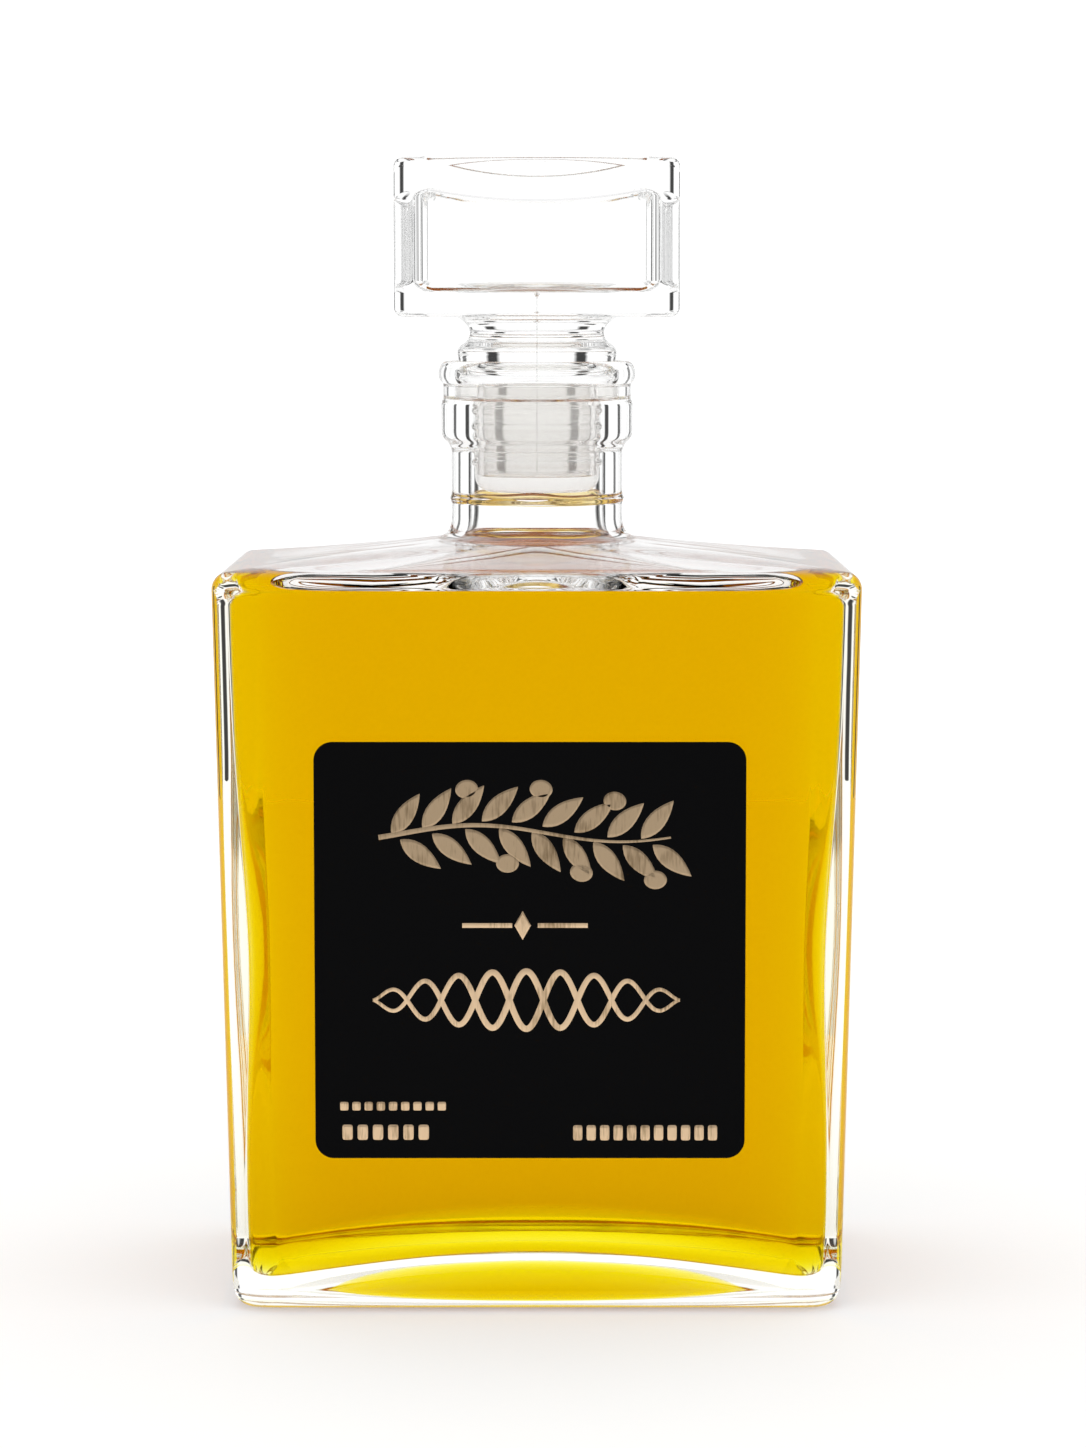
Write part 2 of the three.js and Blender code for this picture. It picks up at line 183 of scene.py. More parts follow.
@dataclass(frozen=True)
class Finish:
    """Finish of a piece: one shader and, for a liquid, a colour that deepens on the way through."""

    name: str

    def surface(self, tree: bpy.types.NodeTree) -> dict[str, Any]:
        """Inputs of the shader, as values or sockets of the tree."""
        raise NotImplementedError

    def depth(self, tree: bpy.types.NodeTree) -> bpy.types.NodeSocket | None:
        """Colour of the inside, if it has one."""
        return None

    def make(self) -> bpy.types.Material:
        """Builds the material.

        Returns:
            The new material.
        """
        material = bpy.data.materials.new(self.name)
        material.use_nodes = True
        tree = material.node_tree
        tree.nodes.clear()
        ends = {"Surface": add_node(tree, "ShaderNodeBsdfPrincipled", self.surface(tree)).outputs["BSDF"]}
        inside = self.depth(tree)
        if inside is not None:
            ends["Volume"] = inside
        add_node(tree, "ShaderNodeOutputMaterial", ends)
        return material


@dataclass(frozen=True)
class SodaLimeGlass(Finish):
    """Fire-polished soda-lime glass: colourless, sharp, with a slow waviness that bends what lies behind it.

    Reflections at a right angle are muted, as with the light and the polarising filter of a studio, and stay
    full at a glancing angle.
    """

    ior: float = 1.52
    clear: tuple[float, float, float, float] = (0.995, 0.997, 0.995, 1.0)
    glint: tuple[float, float, float, float] = (0.02, 0.02, 0.02, 1.0)
    wave_mm: float = 14.0
    relief_mm: float = 0.02

    def surface(self, tree: bpy.types.NodeTree) -> dict[str, Any]:
        """Clear glass with wavy faces."""
        return {
            "Base Color": self.clear,
            "Roughness": 0.0,
            "IOR": self.ior,
            "Transmission Weight": 1.0,
            "Specular Tint": self.glint,
            "Normal": relief(tree, noise(tree, self.wave_mm, detail=1.0, roughness=0.4), self.relief_mm),
        }


@dataclass(frozen=True)
class OliveOil(Finish):
    """Filtered olive oil: clear and golden, deeper in colour the longer the way through it.

    It bends light only at its free top. Where it wets the glass, the glass face carries the small step
    between both.
    """

    name: str = "olive_oil_filtered"
    ior: float = 1.47
    level_mm: float | None = None
    skin_mm: float = 0.03
    tint: tuple[float, float, float] = (0.9804, 0.9448, 0.0)
    density: float = 250.0

    def surface(self, tree: bpy.types.NodeTree) -> dict[str, Any]:
        """Clear liquid."""
        return {"Base Color": WHITE, "Roughness": 0.0, "IOR": self.ior, "Transmission Weight": 1.0}

    def depth(self, tree: bpy.types.NodeTree) -> bpy.types.NodeSocket:
        """Golden colour of the inside."""
        inputs = {"Color": (*self.tint, 1.0), "Density": self.density}
        return add_node(tree, "ShaderNodeVolumeAbsorption", inputs).outputs["Volume"]

    def make(self) -> bpy.types.Material:
        """Builds the material, with light bent only at the free top if there is one.

        Returns:
            The new material.
        """
        material = super().make()
        if self.level_mm is None:
            return material
        tree = material.node_tree
        shader = next(node for node in tree.nodes if node.type == "BSDF_PRINCIPLED")
        place = add_node(tree, "ShaderNodeTexCoord").outputs["Object"]
        height = add_node(tree, "ShaderNodeSeparateXYZ", {"Vector": place}).outputs["Z"]
        free = work(tree, "GREATER_THAN", height, (self.level_mm - self.skin_mm) * MM)
        tree.links.new(work(tree, "MULTIPLY_ADD", free, self.ior - 1.0, 1.0), shader.inputs["IOR"])
        return material


@dataclass(frozen=True)
class CoatedPaper(Finish):
    """Black coated label paper: almost no gloss, with a fine tooth that breaks up its sheen."""

    name: str = "coated_paper_black"
    tooth_mm: float = 0.35
    relief_mm: float = 0.01

    def surface(self, tree: bpy.types.NodeTree) -> dict[str, Any]:
        """Black paper with its tooth."""
        tooth = noise(tree, self.tooth_mm, detail=4.0, roughness=0.6)
        return {
            "Base Color": tone(tree, tooth, (0.3, "020203"), (0.75, "070708")),
            "Roughness": rescale(tree, tooth, (0.2, 0.8), (0.5, 0.68)),
            "Specular IOR Level": 0.05,
            "Normal": relief(tree, tooth, self.relief_mm, strength=0.6),
        }


@dataclass(frozen=True)
class StampedFoil(Finish):
    """Hot-stamped rose-gold foil: a soft metal gleam, brushed up and down, worn lighter in patches."""

    name: str = "stamped_foil_rose_gold"
    worn: str = "877257"
    bright: str = "B9A183"
    brush_mm: float = 0.5
    brush_upright: float = 0.12
    patch_mm: float = 7.0

    def surface(self, tree: bpy.types.NodeTree) -> dict[str, Any]:
        """Brushed metal with worn patches.

        Args:
            tree: The material's tree.

        Returns:
            The shader's inputs.
        """
        brush = noise(tree, self.brush_mm, detail=3.0, upright=self.brush_upright)
        wear = work(tree, "ADD", brush, noise(tree, self.patch_mm, detail=2.0))
        return {
            "Base Color": tone(tree, wear, (0.7, self.worn), (1.0, self.bright)),
            "Roughness": rescale(tree, brush, (0.25, 0.75), (0.3, 0.5)),
            "Metallic": 1.0,
        }


@dataclass(frozen=True)
class MilkyPolyethylene(Finish):
    """Moulded polyethylene: milky and soft, with light going a little way into it."""

    name: str = "polyethylene_milky"
    cloud_mm: float = 5.0
    relief_mm: float = 0.05

    def surface(self, tree: bpy.types.NodeTree) -> dict[str, Any]:
        """Cloudy plastic."""
        cloud = noise(tree, self.cloud_mm, detail=2.0)
        return {
            "Base Color": tone(tree, cloud, (0.0, "F6F5F3"), (1.0, "FBFAF9")),
            "Roughness": 0.12,
            "IOR": 1.12,
            "Transmission Weight": 0.82,
            "Normal": relief(tree, cloud, self.relief_mm, strength=0.5),
        }


@dataclass(frozen=True)
class StudioPaper(Finish):
    """White seamless paper: matt and even, with a trace of pulp, lit from below as on a light table."""

    name: str = "seamless_paper_white"
    pulp_mm: float = 2.0
    glow: float = 0.3

    def surface(self, tree: bpy.types.NodeTree) -> dict[str, Any]:
        """Matt paper that glows a little."""
        return {
            "Base Color": tone(tree, noise(tree, self.pulp_mm, detail=3.0), (0.0, "D2D2D1"), (1.0, "D4D4D3")),
            "Roughness": 1.0,
            "Specular IOR Level": 0.0,
            "Emission Color": WHITE,
            "Emission Strength": self.glow,
        }


@dataclass(frozen=True)
class RingGrid:
    """Points of a ring, anticlockwise from the middle of its +X side, with a corner arc in every quarter."""

    straight: int = 12
    arc: int = 20

    @property
    def quarter(self) -> int:
        """Steps in a quarter of the ring."""
        return 2 * self.straight + self.arc

    def rectangle(
        self, half_width: float, half_depth: float, radius: float, spread: float = 0.0
    ) -> np.ndarray:
        """Rounded rectangle.

        Args:
            half_width: Half its size along X.
            half_depth: Half its size along Y.
            radius: Reach of its corners along Y.
            spread: How much further they reach along X.

        Returns:
            Points of the ring, two columns.
        """
        step = np.arange(self.quarter + 1, dtype=float)
        turn = np.clip((step - self.straight) / self.arc, 0, 1) * math.pi / 2
        across = np.minimum((self.quarter - step) / self.straight, 1)
        along = np.minimum(step / self.straight, 1)
        x = (half_width - radius - spread) * across + (radius + spread) * np.cos(turn)
        y = (half_depth - radius) * along + radius * np.sin(turn)
        up = np.stack([x, y], axis=1)[:-1]
        down = np.stack([x, y], axis=1)[:0:-1]
        return np.concatenate([up, down * (-1, 1), up * (-1, -1), down * (1, -1)])

    def circle(self, radius: float) -> np.ndarray:
        """Circle with as many points as a rectangle has.

        Args:
            radius: Its radius.

        Returns:
            Points of the ring, two columns.
        """
        angle = np.arange(4 * self.quarter) / (4 * self.quarter) * 2 * math.pi
        return radius * np.stack([np.cos(angle), np.sin(angle)], axis=1)


GRID = RingGrid()


def lift(outline: np.ndarray, height: float | Callable[[np.ndarray, np.ndarray], np.ndarray]) -> np.ndarray:
    """Puts a ring at one height, or at a height for each of its points.

    Args:
        outline: Points with two columns.
        height: The height, or a function of x and y that gives it.

    Returns:
        Points with three columns.
    """
    z = height(outline[:, 0], outline[:, 1]) if callable(height) else np.full(len(outline), float(height))
    return np.column_stack([outline, z])


def arc_turn(degrees: float = 90.0, steps: int = 8) -> list[tuple[float, float]]:
    """Steps round an arc that starts upright.

    Args:
        degrees: Where the arc ends.
        steps: Number of steps.

    Returns:
        How far in and how far up each step is, as shares of the radius.
    """
    angles = [math.radians(degrees) * i / steps for i in range(steps + 1)]
    return [(1 - math.cos(a), math.sin(a)) for a in angles]


def soften(profile: Profile, radius: float, steps: int = 4) -> Profile:
    """Rounds the corners of a half section and keeps its straight runs.

    Args:
        profile: Radius and height of each point.
        radius: How far each corner is cut back at most.
        steps: Steps in each rounding.

    Returns:
        The rounded half section.
    """
    points = [np.array(p, dtype=float) for p in profile]
    rounded = [points[0]]
    for before, corner, after in zip(points, points[1:], points[2:]):
        back, forth = before - corner, after - corner
        cut = min(radius, 0.45 * np.linalg.norm(back), 0.45 * np.linalg.norm(forth))
        start = corner + back / np.linalg.norm(back) * cut
        end = corner + forth / np.linalg.norm(forth) * cut
        for i in range(steps + 1):
            t = i / steps
            rounded.append((1 - t) ** 2 * start + 2 * t * (1 - t) * corner + t**2 * end)
    rounded.append(points[-1])
    return [(float(r), float(z)) for r, z in rounded]


def round_rings(profile: Profile) -> Rings:
    """Turns each point of a half section into a ring."""
    return [lift(GRID.circle(r), z) for r, z in profile]


def place_object(name: str, data: bpy.types.ID) -> bpy.types.Object:
    """Makes an object of a mesh or a camera, and links it to the scene.

    Args:
        name: The object's name.
        data: What it holds.

    Returns:
        The new object.
    """
    thing = bpy.data.objects.new(name, data)
    bpy.context.scene.collection.objects.link(thing)
    return thing


@dataclass
class Skin:
    """Closed skin of points and faces, in millimetres."""

    points: np.ndarray
    faces: list[tuple[int, ...]]

    @classmethod
    def loft(cls, rings: Rings, start: Sequence[float], end: Sequence[float]) -> "Skin":
        """Closed skin from a point, through the rings in order, to another point.

        Args:
            rings: Rings with the same number of points.
            start: The first point.
            end: The last point.

        Returns:
            The new skin.
        """
        sides = len(rings[0])
        points = np.concatenate([[start], *rings, [end]])
        last = 1 + (len(rings) - 1) * sides
        faces: list[tuple[int, ...]] = []
        for i in range(sides):
            j = (i + 1) % sides
            faces.append((0, 1 + j, 1 + i))
            for ring in range(len(rings) - 1):
                here = 1 + ring * sides
                above = here + sides
                faces.append((here + i, here + j, above + j, above + i))
            faces.append((last + i, last + j, len(points) - 1))
        return cls(points, faces)

    @classmethod
    def tube(cls, rings: Rings) -> "Skin":
        """Skin of a closed tube, from rings that follow each other round its section.

        Args:
            rings: Rings with the same number of points; the last one joins the first.

        Returns:
            The new skin.
        """
        sides, count = len(rings[0]), len(rings)
        faces: list[tuple[int, ...]] = []
        for i in range(sides):
            j = (i + 1) % sides
            for ring in range(count):
                here, above = ring * sides, (ring + 1) % count * sides
                faces.append((here + i, here + j, above + j, above + i))
        return cls(np.concatenate(rings), faces)

    def corners(self) -> list[np.ndarray]:
        """First, second, third and last corner of every face; the last two of a triangle are the same."""
        table = np.array([(*f, f[-1]) if len(f) == 3 else f for f in self.faces])
        return [self.points[table[:, k]] for k in range(4)]

    def outward(self) -> "Skin":
        """Turns the faces round if the skin is inside out.

        Returns:
            The same skin.
        """
        a, b, c, d = self.corners()
        volume = np.einsum("ij,ij->i", a, np.cross(b, c)) + np.einsum("ij,ij->i", a, np.cross(c, d))
        if volume.sum() < 0:
            self.faces = [f[::-1] for f in self.faces]
        return self

    def normals(self) -> np.ndarray:
        """Normals at the points, weighted by the faces' areas so that flat faces stay flat.

        Returns:
            One unit vector for each point.
        """
        a, b, c, d = self.corners()
        triangles = [len(f) == 3 for f in self.faces]
        area = np.cross(c - a, d - b)
        area[triangles] = np.cross(b - a, c - a)[triangles]
        total = np.zeros_like(self.points)
        for face, weight in zip(self.faces, area):
            total[list(face)] += weight
        return total / np.maximum(np.linalg.norm(total, axis=1, keepdims=True), 1e-12)

    def make(
        self,
        name: str,
        materials: Sequence[bpy.types.Material],
        bands: Sequence[int] | None = None,
    ) -> bpy.types.Object:
        """Makes a smooth object of the skin.

        Args:
            name: The object's name.
            materials: The object's materials.
            bands: For a loft, the number of the material of each band of faces, in the rings' order.

        Returns:
            The new object.
        """
        self.outward()
        mesh = bpy.data.meshes.new(name)
        mesh.from_pydata((self.points * MM).tolist(), [], self.faces)
        mesh.polygons.foreach_set("use_smooth", np.ones(len(mesh.polygons), dtype=bool))
        for material in materials:
            mesh.materials.append(material)
        if bands is not None:
            numbers = np.tile(np.array(bands, dtype=np.int32), len(self.faces) // len(bands))
            mesh.polygons.foreach_set("material_index", numbers)
        mesh.normals_split_custom_set_from_vertices(self.normals().tolist())
        mesh.update()
        return place_object(name, mesh)


def settle(piece: bpy.types.Object, nodes: Iterable[str] = ()) -> bpy.types.Object:
    """Declares a finished piece.

    Args:
        piece: The piece.
        nodes: The CAD nodes that it stands for.

    Returns:
        The same piece.
    """
    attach(piece, BODY)
    if nodes:
        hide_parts(*nodes)
    LOG.info("%s: %d faces", piece.name, len(piece.data.polygons))
    return piece


@dataclass(frozen=True)
class OilFilm:
    """Wavy ring of oil that clings to the glass in the neck."""

    name: str
    height: float
    radius: float
    thickness: float
    half_height: float
    overlap: float = 0.1
    sway: float = 0.3
    ripple: float = 0.15
    swell: float = 0.22
    section_steps: int = 16

    def build(self) -> Skin:
        """Skin of the ring.

        Returns:
            The closed skin.
        """
        angle = np.arange(4 * GRID.quarter) / (4 * GRID.quarter) * 2 * math.pi
        middle = self.height + self.sway * np.sin(3 * angle + 0.6) + self.ripple * np.sin(7 * angle)
        thick = self.thickness * (1 + self.swell * np.sin(5 * angle + 1.0))
        rings = []
        for turn in np.linspace(0, 2 * math.pi, self.section_steps, endpoint=False):
            radius = self.radius + self.overlap - thick * (1 - math.cos(turn)) / 2
            height = middle + self.half_height * math.sin(turn)
            rings.append(np.column_stack([radius * np.cos(angle), radius * np.sin(angle), height]))
        return Skin.tube(rings)


@dataclass
class Bottle:
    """Glass bottle with the oil in it."""

    body_height: float = 143.5
    width_top: float = 124.8
    width_bottom: float = 118.4
    depth: float = 79.4
    corner: float = 5.0
    corner_spread: float = 4.0
    heel: float = 4.4
    shoulder: float = 3.6
    shoulder_rise: float = 4.5
    shoulder_turn: float = 78.0
    crown_rounding: float = 0.9
    push_up: float = 4.5
    bearing: float = 5.0
    neck: float = 17.05
    neck_foot: float = 21.5
    neck_foot_height: float = 4.4
    seam_height: float = 156.0
    seam_bead: float = 0.35
    collar: float = 19.05
    collar_bottom: float = 165.5
    collar_top: float = 175.2
    waist: float = 18.7
    lip: float = 19.65
    mouth_top: float = 183.2
    mouth: float = 16.5
    ledge: float = 175.2
    bore: float = 13.3
    front_wall: float = 3.8
    side_wall: float = 4.7
    pinch: float = 1.1
    pinch_height: float = 68.0
    pinch_reach: float = 28.0
    ceiling_rim: float = 140.0
    bore_flare: float = 5.0
    inside_corner: float = 9.0
    inside_spread: float = 15.0
    inside_fillet: float = 3.6
    floor_corner: float = 4.4
    floor_rise: float = 8.2
    floor_fall: float = 0.26
    oil_level: float = 139.7
    oil_reach: float = 0.02
    wall_margin: tuple[float, float] = (4.0, 8.0)
    inside_run: tuple[float, float] = (132.0, 18.0)
    middle_share: float = 0.08
    crown_shares: tuple[float, float, int] = (0.04, 0.96, 24)
    film_height: float = 156.3
    drip_height: float = 147.6
    drip_flare: float = 1.0

    def half_width(self, height: float) -> float:
        """Half the body's width at a height."""
        return (self.width_bottom + (self.width_top - self.width_bottom) * height / self.body_height) / 2

    def outline(self, height: float, inset: float) -> np.ndarray:
        """Outside of the body at a height, drawn in by an inset."""
        half_width, half_depth = self.half_width(height) - inset, self.depth / 2 - inset
        return GRID.rectangle(half_width, half_depth, self.corner - inset, self.corner_spread)

    def wall(self, height: float) -> float:
        """Glass in the narrow sides, which is thickest part of the way up."""
        away = (height - self.pinch_height) / self.pinch_reach
        return self.side_wall + self.pinch * math.exp(-(away**2))

    def inside(self, height: float, inset: float) -> np.ndarray:
        """Inside of the body at a height.

        Args:
            height: The height.
            inset: How far the ring is drawn in from the glass.

        Returns:
            Points of the ring, two columns.
        """
        half_width = self.half_width(height) - self.wall(height) - inset
        half_depth = self.depth / 2 - self.front_wall - inset
        return GRID.rectangle(half_width, half_depth, self.inside_corner - 0.5 * inset, self.inside_spread)

    def crown(
        self, size: tuple[float, float], corner: float, spread: float, foot: float, share: float
    ) -> np.ndarray:
        """Ring between the edge of the shoulder and the round foot of the neck.

        Args:
            size: Half its size along X and Y at the edge.
            corner: Reach of its corners along Y at the edge, which grow rounder on the way.
            spread: How much further they reach along X at the edge.
            foot: Radius at the neck.
            share: How far on the way it is.

        Returns:
            Points of the ring, two columns.
        """
        rounder = corner + (size[1] - corner) * self.crown_rounding * share
        return GRID.rectangle(*size, rounder, spread * (1 - share)) * (1 - share) + GRID.circle(foot) * share

    def floor_height(self, x: np.ndarray, y: np.ndarray) -> np.ndarray:
        """Height of the inside floor, an arch from side to side.

        Args:
            x: Places along X.
            y: Places along Y.

        Returns:
            The height at each place.
        """
        across = x / (self.width_bottom / 2 - self.side_wall)
        along = y / (self.depth / 2 - self.front_wall)
        return self.floor_corner + self.floor_rise * (1 - across**2) * (1 - self.floor_fall * along**2)

    def base_rings(self) -> Rings:
        """Dished underside, flat bearing ring and rounded heel.

        Returns:
            Rings from the middle outwards.
        """
        inset = self.heel + self.bearing
        half_width, half_depth = self.half_width(0) - inset, self.depth / 2 - inset
        bearing = GRID.rectangle(half_width, half_depth, self.corner - self.heel, self.corner_spread)

        def dish(x: np.ndarray, y: np.ndarray) -> np.ndarray:
            """Height of the dish."""
            return self.push_up * (1 - (x / half_width) ** 2) * (1 - (y / half_depth) ** 2)

        rings = [lift(bearing * share, dish) for share in np.linspace(self.middle_share, 0.98, 13)]
        rings.append(lift(bearing, 0.0))
        for inward, upward in reversed(arc_turn()):
            rings.append(lift(self.outline(0, self.heel * inward), self.heel * (1 - upward)))
        return rings

    def shoulder_rings(self) -> Rings:
        """Walls, rounded upper edge and crown.

        Returns:
            Rings from bottom to top.
        """
        foot, top = self.heel + self.wall_margin[0], self.body_height - self.wall_margin[1]
        rings = [lift(self.outline(z, 0), z) for z in np.linspace(foot, top, 12)]
        for inward, upward in arc_turn(self.shoulder_turn):
            height = self.body_height - self.shoulder * (1 - upward)
            rings.append(lift(self.outline(height, self.shoulder * inward), height))
        size = (self.half_width(self.body_height) - self.shoulder, self.depth / 2 - self.shoulder)
        for share in np.linspace(*self.crown_shares):
            outline = self.crown(size, self.corner - self.shoulder, self.corner_spread, self.neck_foot, share)
            rings.append(lift(outline, self.body_height + self.shoulder_rise * share))
        return rings

    def neck_profile(self) -> Profile:
        """Half section of the neck from its foot over the lip and down to the bore.

        Returns:
            The rounded half section.
        """
        foot = self.body_height + self.shoulder_rise
        spread = self.neck_foot - self.neck
        profile: Profile = [
            (self.neck + spread * inward**1.4, foot + self.neck_foot_height * (1 - upward))
            for inward, upward in reversed(arc_turn())
        ]
        profile += [
            (self.neck, self.seam_height - 0.8),
            (self.neck + self.seam_bead, self.seam_height),
            (self.neck, self.seam_height + 0.8),
            (self.neck, self.collar_bottom),
            (self.neck + 0.45, self.collar_bottom + 1.2),
            (self.collar - 0.35, self.collar_bottom + 2.4),
            (self.collar, self.collar_bottom + 3.6),
            (self.collar, self.collar_top - 0.4),
            (self.waist, self.collar_top + 0.5),
            (self.waist, self.mouth_top - 4.6),
            (self.lip - 0.15, self.mouth_top - 3.6),
            (self.lip, self.mouth_top - 2.3),
            (self.lip - 0.4, self.mouth_top - 0.9),
            (self.lip - 1.3, self.mouth_top),
            (self.mouth + 0.6, self.mouth_top),
            (self.mouth, self.mouth_top - 0.6),
            (self.mouth, self.ledge),
            (self.bore + 0.5, self.ledge),
            (self.bore, self.ledge - 0.6),
        ]
        return soften(profile, 1.2)

    def ceiling_rings(self) -> Rings:
        """Bore foot and the underside of the shoulder.

        Returns:
            Rings from the bore out to the walls.
        """
        crest = self.ceiling_rim + self.shoulder_rise
        flare = self.bore_flare
        bore_foot: Profile = [
            (self.bore, crest + 2.2 * flare),
            (self.bore, crest + 1.6 * flare),
            (self.bore + 0.08 * flare, crest + flare),
            (self.bore + 0.32 * flare, crest + 0.45 * flare),
            (self.bore + flare, crest),
        ]
        inset = self.wall(self.ceiling_rim) + self.inside_fillet
        corner = self.inside_corner - 0.5 * self.inside_fillet
        half_depth = self.depth / 2 - self.front_wall - self.inside_fillet
        size = (self.half_width(self.ceiling_rim) - inset, half_depth)
        rings = round_rings(soften(bore_foot, 2.0))
        for share in np.linspace(*self.crown_shares)[::-1]:
            outline = self.crown(size, corner, self.inside_spread, self.bore + flare, share)
            rings.append(lift(outline, self.ceiling_rim + self.shoulder_rise * share))
        return rings

    def wall_top_rings(self, inset: float, top: float) -> Rings:
        """Rounded upper end of the inside walls, with one ring at the oil's level.

        Args:
            inset: How far the rings are drawn in from the glass.
            top: Where they stop.

        Returns:
            Rings from top to bottom.
        """
        level = math.degrees(math.asin(1 - (self.ceiling_rim - self.oil_level) / self.inside_fillet))
        angles = [self.shoulder_turn, *np.linspace(level, 0, 9)]
        rings = []
        for angle in angles:
            inward, upward = 1 - math.cos(math.radians(angle)), math.sin(math.radians(angle))
            height = self.ceiling_rim - self.inside_fillet * (1 - upward)
            if height <= top + TINY:
                rings.append(lift(self.inside(height, self.inside_fillet * inward + inset), height))
        return rings

    def wall_rings(self, inset: float) -> Rings:
        """Inside walls, the fillet at their foot and the arched floor.

        Args:
            inset: How far the rings are drawn in from the glass.

        Returns:
            Rings from top to bottom.
        """
        rings = [lift(self.inside(z, inset), z) for z in np.linspace(*self.inside_run, 30)]
        for inward, upward in arc_turn():
            outline = self.inside(self.floor_corner, self.inside_fillet * inward + inset)
            rise = self.inside_fillet * (1 - upward) + inset
            rings.append(lift(outline, lambda x, y, rise=rise: self.floor_height(x, y) + rise))
        edge = self.inside(self.floor_corner, self.inside_fillet + inset)
        for share in np.linspace(0.92, self.middle_share, 12):
            rings.append(lift(edge * share, lambda x, y: self.floor_height(x, y) + inset))
        return rings

    def build_glass(self) -> tuple[Skin, list[int]]:
        """Skin of the glass.

        Returns:
            The closed skin, outside and inside, and 1 for each of its bands that the oil wets, else 0.
        """
        above = [
            *self.base_rings(),
            *self.shoulder_rings(),
            *round_rings(self.neck_profile()),
            *self.ceiling_rings(),
            *self.wall_top_rings(0, self.body_height),
        ]
        below = self.wall_rings(0)
        rings = [*above, *below]
        dry = max(i for i, ring in enumerate(above) if ring[:, 2].min() > self.oil_level - TINY) + 1
        bands = [0] * dry + [1] * (len(rings) + 1 - dry)
        return Skin.loft(rings, (0, 0, self.push_up), (0, 0, self.floor_corner + self.floor_rise)), bands

    def build_oil(self) -> Skin:
        """Skin of the oil, which reaches just into the glass.

        Returns:
            The closed skin.
        """
        reach = self.oil_reach
        rings = [*self.wall_top_rings(-reach, self.oil_level), *self.wall_rings(-reach)][::-1]
        return Skin.loft(rings, (0, 0, self.floor_corner + self.floor_rise - reach), (0, 0, self.oil_level))

    def dress(self) -> list[bpy.types.Object]:
        """Makes the glass and the oil.

        Returns:
            The finished pieces.
        """
        dry = SodaLimeGlass("soda_lime_glass_bottle")
        oil = OliveOil(level_mm=self.oil_level)
        wetted = SodaLimeGlass("soda_lime_glass_wetted", ior=dry.ior / oil.ior)
        film = OliveOil("olive_oil_film", tint=(0.88, 0.7, 0.05), density=900.0).make()
        films = (
            OilFilm("neck_oil_film", self.film_height, self.bore, 1.08, 0.85),
            OilFilm("neck_oil_drip", self.drip_height, self.bore + self.drip_flare, 1.92, 0.8),
        )
        skin, bands = self.build_glass()
        glass = skin.make("bottle_glass", [dry.make(), wetted.make()], bands)
        return [
            settle(glass, ["bottle"]),
            settle(self.build_oil().make("bottle_oil", [oil.make()]), ["oil"]),
            *(settle(ring.build().make(ring.name, [film])) for ring in films),
        ]


